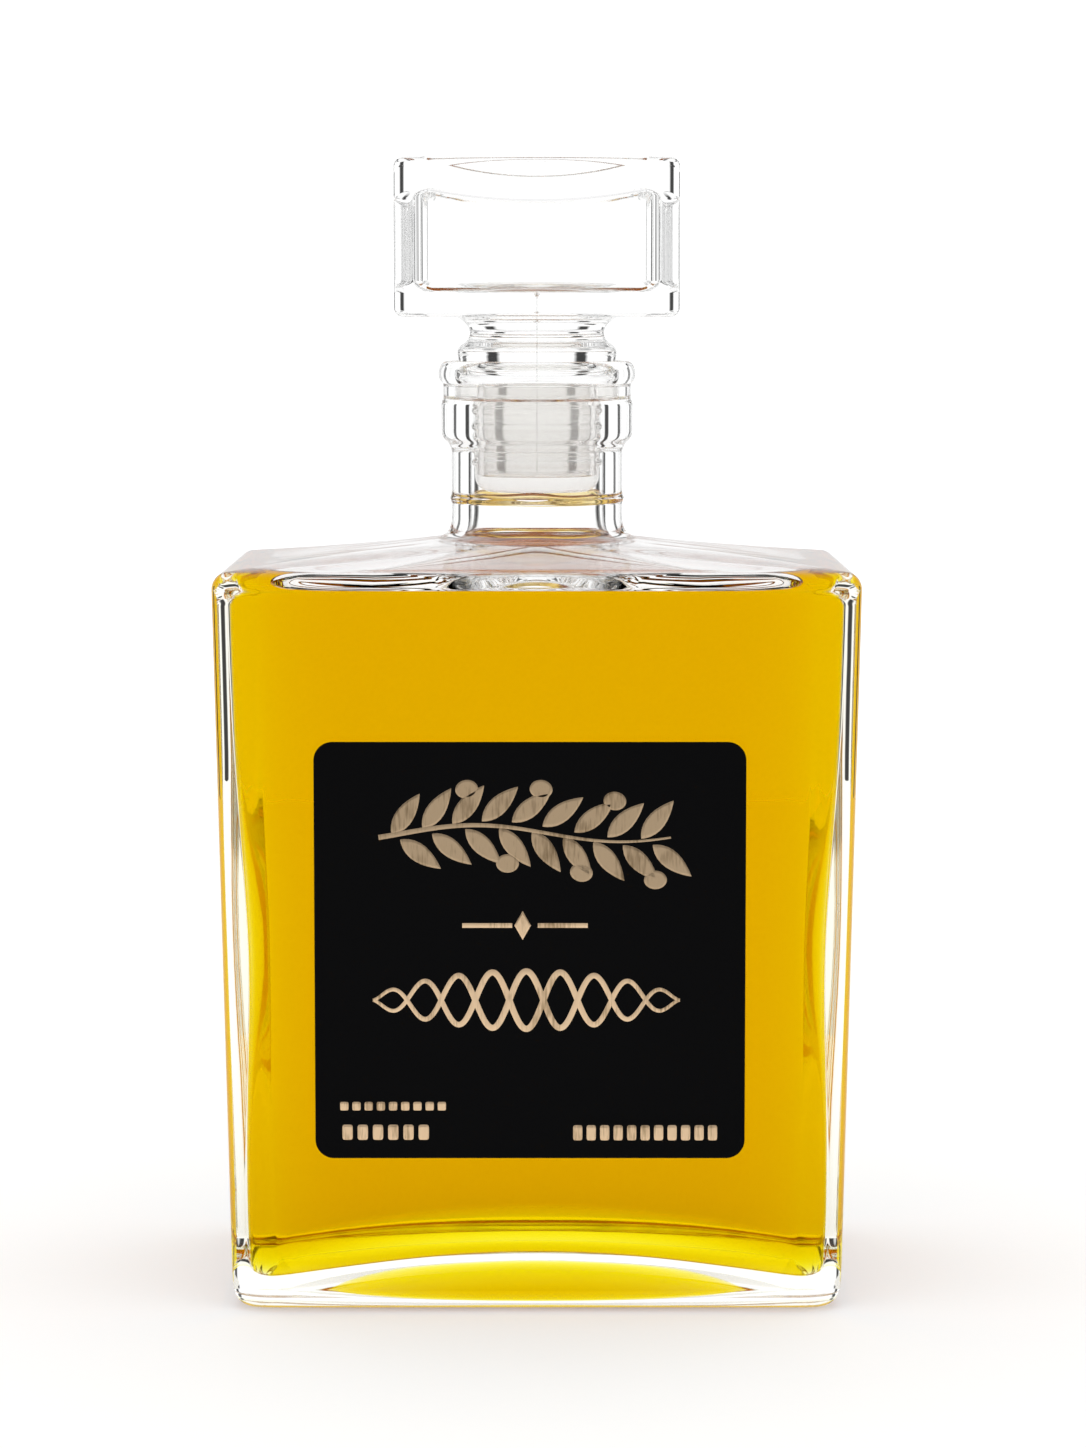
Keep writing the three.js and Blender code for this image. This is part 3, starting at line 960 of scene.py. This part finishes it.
@dataclass
class Stopper:
    """Hollow glass stopper with its seal."""

    width: float = 55.9
    depth: float = 38.0
    bottom: float = 191.9
    top: float = 222.9
    corner: float = 5.6
    least_corner: float = 2.4
    edge: float = 1.8
    rim: float = 3.0
    dish: float = 4.2
    dish_fall: float = 0.79
    wall: float = 4.5
    ceiling_wall: float = 3.7
    ceiling_across: float = 2.9
    ceiling_along: float = 3.5
    fillet: float = 2.5
    foot: float = 15.9
    foot_bottom: float = 180.2
    foot_waist: float = 13.35
    foot_waist_height: float = 188.7
    mouth_top: float = 183.2
    stem: float = 10.4
    stem_bottom: float = 161.0
    stem_bore: float = 0.08
    flange: float = 16.2
    flange_bottom: float = 175.5
    flange_top: float = 179.9
    rib: float = 13.0
    plug: float = 12.4
    plug_bottom: float = 157.3
    plug_rounding: float = 3.2
    socket: float = 10.7
    socket_bottom: float = 160.4
    ribs: tuple[float, ...] = (163.2, 167.2, 170.3, 173.4)
    rib_height: float = 0.9
    middle_share: float = 0.08

    def rounding(self, inset: float) -> float:
        """Radius of the head's corners, drawn in by an inset."""
        return max(self.corner - inset, self.least_corner)

    def outline(self, inset: float) -> np.ndarray:
        """Outline of the head, drawn in by an inset."""
        return GRID.rectangle(self.width / 2 - inset, self.depth / 2 - inset, self.rounding(inset))

    def shares(self, x: np.ndarray, y: np.ndarray) -> tuple[np.ndarray, np.ndarray]:
        """Squared distance from the head's middle towards its sides and its front.

        Args:
            x: Places along X.
            y: Places along Y.

        Returns:
            Both at each place, up to 1 at the rim.
        """
        across = x / (self.width / 2 - self.rim)
        along = y / (self.depth / 2 - self.rim)
        return np.minimum(across**2, 1), np.minimum(along**2, 1)

    def dish_height(self, x: np.ndarray, y: np.ndarray) -> np.ndarray:
        """Height of the head's sagging top."""
        across, along = self.shares(x, y)
        return self.top - self.dish * (1 - across) * (1 - self.dish_fall * along)

    def ceiling_height(self, x: np.ndarray, y: np.ndarray) -> np.ndarray:
        """Height of the cavity's ceiling, which sags more than the top.

        Args:
            x: Places along X.
            y: Places along Y.

        Returns:
            The height at each place.
        """
        across, along = self.shares(x, y)
        sag = self.ceiling_across * (1 - across) + self.ceiling_along * (1 - along)
        return self.top - self.ceiling_wall - sag

    def cavity_rings(self) -> Rings:
        """Cavity of the head with the funnel into the stem.

        Returns:
            Rings from the middle of its ceiling to the end of the stem.
        """
        floor = self.bottom + self.wall + 0.2
        edge = self.outline(self.wall + self.fillet)
        shares = np.linspace(self.middle_share, 0.94, 10)
        rings = [lift(edge * share, self.ceiling_height) for share in shares]
        for inward, upward in reversed(arc_turn()):
            drop = self.fillet * (1 - upward)
            outline = self.outline(self.wall + self.fillet * inward)
            rings.append(lift(outline, lambda x, y, drop=drop: self.ceiling_height(x, y) - drop))
        for inward, upward in arc_turn():
            outline = self.outline(self.wall + self.fillet * inward)
            rings.append(lift(outline, floor + self.fillet * (1 - upward)))
        funnel: Profile = [
            (self.stem_bore + 0.6, floor - 0.2),
            (self.stem_bore, floor - 1.0),
            (self.stem_bore, self.stem_bottom + 0.6),
            (self.stem_bore + 0.6, self.stem_bottom),
        ]
        return [*rings, *round_rings(soften(funnel, 1.5))]

    def foot_profile(self) -> Profile:
        """Half section of stem and foot.

        Returns:
            The rounded half section from bottom to top.
        """
        waist, height = self.foot_waist, self.foot_waist_height
        profile: Profile = [
            (self.stem - 0.6, self.stem_bottom),
            (self.stem, self.stem_bottom + 0.6),
            (self.stem, self.foot_bottom),
            (self.foot - 0.9, self.foot_bottom),
            (self.foot - 0.2, self.foot_bottom + 0.7),
            (self.foot - 0.2, self.mouth_top),
            (self.foot, height - 3.6),
            (self.foot - 0.4, height - 2.7),
            (waist + 0.7, height - 1.7),
            (waist, height - 0.4),
            (waist + 0.1, height + 0.9),
            (waist + 1.0, height + 2.0),
            (waist + 2.6, self.bottom),
        ]
        return soften(profile, 1.2)

    def head_rings(self) -> Rings:
        """Outside of the head.

        Returns:
            Rings from its underside to the middle of its sagging top.
        """
        rings = []
        for inward, upward in reversed(arc_turn()):
            rings.append(lift(self.outline(self.edge * inward), self.bottom + self.edge * (1 - upward)))
        for inward, upward in arc_turn():
            rings.append(lift(self.outline(self.edge * inward), self.top - self.edge * (1 - upward)))
        rim = self.outline(self.rim)
        for share in np.linspace(1.0, self.middle_share, 14):
            rings.append(lift(rim * share, self.dish_height))
        return rings

    def build_glass(self) -> Skin:
        """Skin of the glass.

        Returns:
            The closed skin, cavity and outside.
        """
        rings = [*self.cavity_rings(), *round_rings(self.foot_profile()), *self.head_rings()]
        apex = self.top - self.ceiling_wall - self.ceiling_across - self.ceiling_along
        return Skin.loft(rings, (0, 0, apex), (0, 0, self.top - self.dish))

    def build_seal(self) -> Skin:
        """Skin of the seal: a ribbed plug with a flange and a socket for the stem.

        Returns:
            The closed skin.
        """
        profile: Profile = [
            (self.plug - self.plug_rounding * inward, self.plug_bottom + self.plug_rounding * (1 - upward))
            for inward, upward in reversed(arc_turn())
        ]
        for height in self.ribs:
            profile += [
                (self.plug, height - self.rib_height),
                (self.rib, height - 0.4 * self.rib_height),
                (self.rib, height + 0.4 * self.rib_height),
                (self.plug, height + self.rib_height),
            ]
        profile += [
            (self.plug, self.flange_bottom),
            (self.flange - 0.4, self.flange_bottom),
            (self.flange, self.flange_bottom + 0.4),
            (self.flange, self.flange_top - 0.5),
            (self.flange - 0.5, self.flange_top),
            (self.socket, self.flange_top),
            (self.socket, self.socket_bottom),
            (self.socket - 2.0, self.socket_bottom),
        ]
        rings = round_rings(soften(profile, 0.5))
        return Skin.loft(rings, (0, 0, self.plug_bottom), (0, 0, self.socket_bottom))

    def dress(self) -> list[bpy.types.Object]:
        """Makes the glass and the seal.

        Returns:
            The finished pieces.
        """
        glass = SodaLimeGlass("soda_lime_glass_stopper").make()
        plastic = MilkyPolyethylene().make()
        return [
            settle(self.build_glass().make("stopper_glass", [glass]), ["stopper"]),
            settle(self.build_seal().make("stopper_seal_milky", [plastic]), ["stopper_seal"]),
        ]


class Motif(Enum):
    """Shapes that the foil repeats."""

    LEAF = "leaf"
    OLIVE = "olive"
    DASH = "dash"
    DIAMOND = "diamond"


@dataclass(frozen=True)
class SprigRow:
    """Leaves or olives along one side of the sprig's stem."""

    name: str
    shape: Motif
    size: tuple[float, float]
    lean: float
    shift: float
    run: tuple[float, float]
    count: int


@dataclass(frozen=True)
class DashRow:
    """Short upright dashes side by side."""

    name: str
    run: tuple[float, float]
    v: float
    count: int
    size: tuple[float, float]


@dataclass
class Label:
    """Black paper label with generic stamped ornaments."""

    width: float = 82.8
    height: float = 80.8
    corner: float = 3.6
    offset: float = -1.3
    centre: float = 70.8
    back: float = -39.69
    front: float = -39.91
    cut_edge: float = 0.1
    foil: float = 0.14
    tuck: float = 0.02
    bevel: float = 0.3
    sprig_u: tuple[float, float] = (-29.0, 27.0)
    sprig_v: float = 22.8
    sprig_sway: float = 1.6
    sprig_rows: tuple[SprigRow, ...] = (
        SprigRow("label_sprig_leaves_upper", Motif.LEAF, (9.6, 3.5), -46.0, 4.1, (0.03, 0.9), 9),
        SprigRow("label_sprig_leaves_lower", Motif.LEAF, (9.6, 3.5), 46.0, -4.1, (0.08, 0.95), 9),
        SprigRow("label_sprig_olives_upper", Motif.OLIVE, (4.4, 3.6), 0.0, 7.4, (0.2, 0.72), 3),
        SprigRow("label_sprig_olives_lower", Motif.OLIVE, (4.4, 3.6), 0.0, -7.4, (0.33, 0.85), 3),
    )
    braid_u: tuple[float, float] = (-30.2, 28.8)
    braid_v: float = -9.5
    braid_height: float = 5.6
    braid_waves: float = 4.5
    rule_v: float = 5.0
    rule_width: float = 0.9
    rule_left: tuple[float, float] = (-13.0, -3.4)
    rule_right: tuple[float, float] = (1.5, 11.1)
    diamond_u: float = -1.4
    diamond_size: tuple[float, float] = (3.2, 5.6)
    dash_rows: tuple[DashRow, ...] = (
        DashRow("label_row_small", (-35.8, -17.0), -30.2, 9, (1.6, 1.7)),
        DashRow("label_row_left", (-35.2, -20.5), -35.3, 6, (2.0, 3.0)),
        DashRow("label_row_right", (9.2, 35.2), -35.4, 11, (1.8, 3.0)),
    )

    def place(self, u: np.ndarray, v: np.ndarray, proud: float | np.ndarray) -> np.ndarray:
        """Puts points of the label's face into the frame.

        Args:
            u: Millimetres to the right of the label's middle.
            v: Millimetres above it.
            proud: How far the points stand out of the paper.

        Returns:
            Points with three columns.
        """
        return np.column_stack([u + self.offset, self.front - proud * np.ones_like(u), v + self.centre])

    def build_paper(self) -> Skin:
        """Skin of the paper with a softly cut edge.

        Returns:
            The closed skin.
        """
        edge = self.cut_edge
        rings = []
        for inset, depth in (
            (6, self.back),
            (0, self.back),
            (0, self.front + edge),
            (0.3 * edge, self.front + 0.3 * edge),
            (1.2 * edge, self.front),
            (6 * edge, self.front),
            (6, self.front),
            (20, self.front),
        ):
            corner = max(self.corner - inset, 0.5)
            outline = GRID.rectangle(self.width / 2 - inset, self.height / 2 - inset, corner)
            rings.append(self.place(outline[:, 0], outline[:, 1], self.front - depth))
        return Skin.loft(rings, (self.offset, self.back, self.centre), (self.offset, self.front, self.centre))

    def motif(self, shape: Motif, size: tuple[float, float]) -> Skin:
        """Skin of one small stamped shape, centred on the origin in the XZ plane.

        Args:
            shape: Which shape.
            size: Its length along X and its width along Z.

        Returns:
            The closed skin.
        """
        angle = np.linspace(0, 2 * math.pi, 25)[:-1]
        u, v = np.cos(angle), np.sin(angle)
        if shape is Motif.LEAF:
            v = np.sign(v) * (1 - u**2) ** 0.9 * (1 - 0.25 * u)
        elif shape is Motif.DASH:
            u, v = np.sign(u) * np.abs(u) ** 0.35, np.sign(v) * np.abs(v) ** 0.35
        elif shape is Motif.DIAMOND:
            reach = np.abs(u) + np.abs(v)
            u, v = u / reach, v / reach
        outline = np.stack([u * size[0] / 2, v * size[1] / 2], axis=1)
        face = 1 - 2 * self.bevel / min(size)
        rings = [
            np.column_stack([outline[:, 0] * share, np.full(len(outline), depth), outline[:, 1] * share])
            for share, depth in (
                (1.0, self.tuck),
                (1.0, 0.0),
                (0.5 + 0.5 * face, -0.6 * self.foil),
                (face, -self.foil),
                (0.97 * face, -self.foil),
                (0.4 * face, -self.foil),
            )
        ]
        return Skin.loft(rings, (0, self.tuck, 0), (0, -self.foil, 0))

    def ribbon(self, u: np.ndarray, v: np.ndarray, half_width: np.ndarray, proud: float) -> Skin:
        """Skin of a stamped line.

        Args:
            u: Where the line runs, to the right.
            v: Where the line runs, upwards.
            half_width: Half its width at each point.
            proud: How far it stands out of the paper.

        Returns:
            The closed skin.
        """
        du, dv = np.gradient(u), np.gradient(v)
        length = np.hypot(du, dv)
        side_u, side_v = -dv / length * half_width, du / length * half_width
        outline_u = np.concatenate([u + side_u, (u - side_u)[::-1]])
        outline_v = np.concatenate([v + side_v, (v - side_v)[::-1]])
        count = len(u)
        top = self.place(outline_u, outline_v, proud)
        under = self.place(outline_u, outline_v, -self.tuck)
        faces: list[tuple[int, ...]] = []
        for i in range(count - 1):
            left, right = i, 2 * count - 1 - i
            faces.append((left, left + 1, right - 1, right))
            faces.append((2 * count + right, 2 * count + right - 1, 2 * count + left + 1, 2 * count + left))
        for i in range(2 * count):
            j = (i + 1) % (2 * count)
            faces.append((i, 2 * count + i, 2 * count + j, j))
        return Skin(np.concatenate([top, under]), faces)

    def sprig(self, foil: bpy.types.Material, repeat: "RepeatAlongPath") -> list[bpy.types.Object]:
        """Olive sprig: a stem with leaves and olives on both sides.

        Args:
            foil: Its material.
            repeat: What repeats the leaves and olives.

        Returns:
            The finished pieces.
        """
        t = np.linspace(0, 1, 80)
        u = self.sprig_u[0] + (self.sprig_u[1] - self.sprig_u[0]) * t
        v = self.sprig_v + self.sprig_sway * np.sin(2 * math.pi * (t - 0.08))
        stem = self.ribbon(u, v, 0.5 - 0.3 * t, 0.7 * self.foil)
        pieces = [settle(stem.make("label_sprig_stem", [foil]))]
        for row in self.sprig_rows:
            part = (t >= row.run[0]) & (t <= row.run[1])
            path = self.place(u[part] + abs(row.shift) * 0.75, v[part] + row.shift, 0.0)
            shape = self.motif(row.shape, row.size)
            side = repeat.make(row.name, path, row.count, shape, row.lean, foil)
            pieces.append(settle(side))
        return pieces

    def braid(self, foil: bpy.types.Material) -> list[bpy.types.Object]:
        """Braid of two wavy lines, widest in the middle.

        Args:
            foil: Its material.

        Returns:
            The finished pieces.
        """
        t = np.linspace(0, 1, 240)
        u = self.braid_u[0] + (self.braid_u[1] - self.braid_u[0]) * t
        swell = self.braid_height * np.sin(math.pi * t) ** 0.6
        pieces = []
        for name, side, proud in (("label_braid_over", 1.0, 0.9), ("label_braid_under", -1.0, 0.7)):
            v = self.braid_v + side * swell * np.sin(2 * math.pi * self.braid_waves * t)
            line = self.ribbon(u, v, 0.3 + 0.3 * np.sin(math.pi * t), proud * self.foil)
            pieces.append(settle(line.make(name, [foil])))
        return pieces

    def rules(self, foil: bpy.types.Material, repeat: "RepeatAlongPath") -> list[bpy.types.Object]:
        """Diamond between two rules, and the rows of dashes.

        Args:
            foil: Their material.
            repeat: What places the diamond and the dashes.

        Returns:
            The finished pieces.
        """
        pieces = []
        for name, run in (("label_rule_left", self.rule_left), ("label_rule_right", self.rule_right)):
            u = np.linspace(*run, 12)
            v, half_width = np.full_like(u, self.rule_v), np.full_like(u, self.rule_width / 2)
            line = self.ribbon(u, v, half_width, 0.8 * self.foil)
            pieces.append(settle(line.make(name, [foil])))
        diamond = self.motif(Motif.DIAMOND, self.diamond_size)
        path = self.place(np.array([self.diamond_u, 0.0]), np.full(2, self.rule_v), 0.0)
        pieces.append(settle(repeat.make("label_diamond", path, 1, diamond, 0.0, foil)))
        for row in self.dash_rows:
            path = self.place(np.array(row.run), np.full(2, row.v), 0.0)
            dash = self.motif(Motif.DASH, row.size)
            pieces.append(settle(repeat.make(row.name, path, row.count, dash, 0.0, foil)))
        return pieces

    def dress(self) -> list[bpy.types.Object]:
        """Makes the paper and its foil.

        Returns:
            The finished pieces.
        """
        rose = StampedFoil().make()
        # The braid, rules and dashes use a lighter copy of the same rose-gold foil: painted highlight,
        # standing for the brighter gleam that these small stamped shapes catch at their edges.
        pale = StampedFoil("stamped_foil_pale_gold", worn="A98F6F", bright="E7C9A5").make()
        repeat = RepeatAlongPath()
        paper = self.build_paper().make("label_paper", [CoatedPaper().make()])
        pieces = [settle(paper, ["label"])]
        return pieces + self.sprig(rose, repeat) + self.braid(pale) + self.rules(pale, repeat)


class RepeatAlongPath:
    """Geometry Nodes tree that repeats a small piece along a path on the label's face."""

    def __init__(self) -> None:
        """Builds the tree."""
        self.tree = bpy.data.node_groups.new("repeat_along_path", "GeometryNodeTree")
        self.tree.interface.new_socket("Geometry", in_out="OUTPUT", socket_type="NodeSocketGeometry")
        for name, kind in (
            ("Geometry", "NodeSocketGeometry"),
            ("Count", "NodeSocketInt"),
            ("Lean", "NodeSocketFloat"),
            ("Piece", "NodeSocketObject"),
            ("Finish", "NodeSocketMaterial"),
        ):
            self.tree.interface.new_socket(name, in_out="INPUT", socket_type=kind)
        given = add_node(self.tree, "NodeGroupInput").outputs
        path = add_node(self.tree, "GeometryNodeMeshToCurve", {"Mesh": given["Geometry"]})
        points = add_node(
            self.tree,
            "GeometryNodeCurveToPoints",
            {"Curve": path.outputs["Curve"], "Count": given["Count"]},
            mode="COUNT",
        )
        along = add_node(
            self.tree,
            "FunctionNodeAlignRotationToVector",
            {"Vector": points.outputs["Tangent"]},
            axis="X",
            pivot_axis="Y",
        )
        lean = add_node(self.tree, "ShaderNodeCombineXYZ", {"Y": given["Lean"]})
        turned = add_node(
            self.tree,
            "FunctionNodeRotateRotation",
            {"Rotation": along.outputs["Rotation"], "Rotate By": lean.outputs["Vector"]},
            rotation_space="LOCAL",
        )
        shape = add_node(self.tree, "GeometryNodeObjectInfo", {"Object": given["Piece"]})
        copies = add_node(
            self.tree,
            "GeometryNodeInstanceOnPoints",
            {
                "Points": points.outputs["Points"],
                "Instance": shape.outputs["Geometry"],
                "Rotation": turned.outputs["Rotation"],
            },
        )
        real = add_node(self.tree, "GeometryNodeRealizeInstances", {"Geometry": copies.outputs["Instances"]})
        dressed = add_node(
            self.tree,
            "GeometryNodeSetMaterial",
            {"Geometry": real.outputs["Geometry"], "Material": given["Finish"]},
        )
        add_node(self.tree, "NodeGroupOutput", {"Geometry": dressed.outputs["Geometry"]})

    def socket(self, name: str) -> str:
        """Identifier of a named input."""
        return next(
            item.identifier
            for item in self.tree.interface.items_tree
            if item.in_out == "INPUT" and item.name == name
        )

    def make(
        self, name: str, path: np.ndarray, count: int, shape: Skin, lean: float, finish: bpy.types.Material
    ) -> bpy.types.Object:
        """Repeats a shape along a path.

        Args:
            name: Name of the new piece.
            path: Points of the path, in millimetres.
            count: How many copies.
            shape: The shape.
            lean: Degrees by which each copy is turned on the label.
            finish: Its material.

        Returns:
            A plain mesh object.
        """
        sample = shape.make(f"{name}_sample", [finish])
        line = bpy.data.meshes.new(f"{name}_path")
        line.from_pydata((path * MM).tolist(), [(i, i + 1) for i in range(len(path) - 1)], [])
        carrier = place_object(f"{name}_path", line)
        modifier = carrier.modifiers.new("repeat", "NODES")
        modifier.node_group = self.tree
        wanted = {"Count": count, "Lean": math.radians(lean), "Piece": sample, "Finish": finish}
        for key, value in wanted.items():
            modifier[self.socket(key)] = value
        graph = bpy.context.evaluated_depsgraph_get()
        mesh = bpy.data.meshes.new_from_object(carrier.evaluated_get(graph))
        mesh.name = name
        carrier.modifiers.remove(modifier)
        bpy.data.objects.remove(carrier)
        bpy.data.objects.remove(sample)
        return place_object(name, mesh)


@dataclass
class Studio:
    """Plain white studio with the camera of the photograph."""

    lens: float = 102.93
    place_m: tuple[float, float, float] = (0.0012, -0.8263, 0.1952)
    pitch: float = 5.848
    sensor: float = 36.0
    clip_m: tuple[float, float] = (0.05, 200.0)
    floor_half: float = 0.8
    floor_drop: float = 0.0001
    level: float = 1.2
    passed_on: float = 0.8
    backdrop: float = 1.095
    gaps: tuple[tuple[float, float], ...] = ((0.24, 0.3), (0.61, 0.68), (0.8, 0.88))
    gap_edge: float = 0.03
    gap_level: float = 0.05
    roof: tuple[tuple[float, float], ...] = (
        *((0.0, 1.0), (0.2, 1.0), (0.4, 0.92), (0.925, 0.95)),
        *((0.935, 0.15), (0.95, 0.15), (0.96, 0.95), (1.0, 0.95)),
    )
    overhead: tuple[tuple[float, float], ...] = ((0.45, 0.0), (0.7, 1.0))
    front: tuple[tuple[float, float], ...] = ((0.0, 0.45), (0.1, 0.7), (0.3, 0.9), (1.0, 0.85))
    bounces: int = 32
    glossy_bounces: int = 16

    def build_floor(self) -> bpy.types.Object:
        """Wide pale floor.

        Returns:
            The floor.
        """
        reach, under = self.floor_half, -self.floor_drop
        corners = [(x * reach, y * reach, under) for x, y in ((-1, -1), (1, -1), (1, 1), (-1, 1))]
        mesh = bpy.data.meshes.new("floor")
        mesh.from_pydata(corners, [], [(0, 1, 2, 3)])
        mesh.materials.append(StudioPaper().make())
        floor = place_object("floor", mesh)
        return floor

    def build_light(self) -> None:
        """Soft light from all round, with dark gaps between the lit screens that draw the edges of the glass.

        The screens are seen in the glass and the foil, and dimmer in front where a face mirrors them. Matt
        pieces get an even level, and a lower one through the glass.
        """
        world = bpy.data.worlds.new("studio")
        bpy.context.scene.world = world
        world.use_nodes = True
        tree = world.node_tree
        tree.nodes.clear()
        place = add_node(tree, "ShaderNodeTexCoord").outputs["Generated"]
        axis = add_node(tree, "ShaderNodeSeparateXYZ", {"Vector": place}).outputs
        turn = work(tree, "ARCTAN2", work(tree, "ABSOLUTE", axis["X"]), work(tree, "ABSOLUTE", axis["Y"]))
        screens = self.ramp(tree, work(tree, "DIVIDE", turn, math.pi / 2), self.screens())
        walls = blend(tree, self.ramp(tree, axis["Z"], self.overhead), screens, 1.0)
        roofed = work(tree, "MULTIPLY", walls, self.ramp(tree, axis["Z"], self.roof))
        tent = work(tree, "MULTIPLY", roofed, self.backdrop)
        dimmed = work(tree, "MULTIPLY", tent, self.ramp(tree, axis["Y"], self.front))

        path = add_node(tree, "ShaderNodeLightPath").outputs
        seen = blend(tree, path["Is Transmission Ray"], dimmed, tent)
        direct = work(tree, "LESS_THAN", path["Diffuse Depth"], 0.5)
        sharp = work(tree, "MULTIPLY", path["Is Glossy Ray"], direct)
        soft = blend(tree, path["Is Glossy Ray"], self.level, self.passed_on)
        level = blend(tree, sharp, soft, seen)
        light = add_node(tree, "ShaderNodeBackground", {"Color": WHITE, "Strength": level})
        add_node(tree, "ShaderNodeOutputWorld", {"Surface": light.outputs["Background"]})

    def screens(self) -> list[tuple[float, float]]:
        """Lit screens round the bottle, with the dark gaps between them.

        Returns:
            Places, from 0 ahead to 1 at the sides, and grey levels.
        """
        stops = [(0.0, 1.0)]
        for start, end in self.gaps:
            stops += [(start - self.gap_edge, 1.0), (start, self.gap_level)]
            stops += [(end, self.gap_level), (end + self.gap_edge, 1.0)]
        return stops + [(1.0, 1.0)]

    def ramp(
        self, tree: bpy.types.NodeTree, share: bpy.types.NodeSocket, stops: Sequence[tuple[float, float]]
    ) -> bpy.types.NodeSocket:
        """Grey levels along a direction.

        Args:
            tree: The world's tree.
            share: Where along the ramp, 0 to 1.
            stops: Places and grey levels.

        Returns:
            The level.
        """
        ramp = add_node(tree, "ShaderNodeValToRGB", {"Fac": share})
        elements = ramp.color_ramp.elements
        while len(elements) < len(stops):
            elements.new(0.5)
        for element, (position, _) in zip(elements, stops):
            element.position = position
        for element, (_, level) in zip(elements, stops):
            element.color = (level, level, level, 1.0)
        return ramp.outputs["Color"]

    def build_camera(self) -> bpy.types.Object:
        """Camera at the photograph's viewing angle.

        Returns:
            The camera.
        """
        lens = bpy.data.cameras.new("camera")
        lens.sensor_width = self.sensor
        lens.lens = self.lens
        lens.clip_start, lens.clip_end = self.clip_m
        camera = place_object("camera", lens)
        camera.location = self.place_m
        camera.rotation_euler = (math.radians(90 - self.pitch), 0.0, 0.0)
        bpy.context.scene.camera = camera
        return camera

    def dress(self) -> None:
        """Makes the floor, the light and the camera, and lets light pass through all the glass."""
        self.build_floor()
        self.build_light()
        self.build_camera()
        scene = bpy.context.scene
        scene.view_settings.view_transform = "Standard"
        scene.cycles.max_bounces = self.bounces
        scene.cycles.transmission_bounces = self.bounces
        scene.cycles.glossy_bounces = self.glossy_bounces
        scene.cycles.blur_glossy = 0.0


def main() -> None:
    """Builds the classes in order."""
    logging.basicConfig(level=logging.INFO, format="%(name)s: %(message)s")
    Studio().dress()
    for assembly in (Bottle(), Stopper(), Label()):
        assembly.dress()


if __name__ == "__main__":
    main()
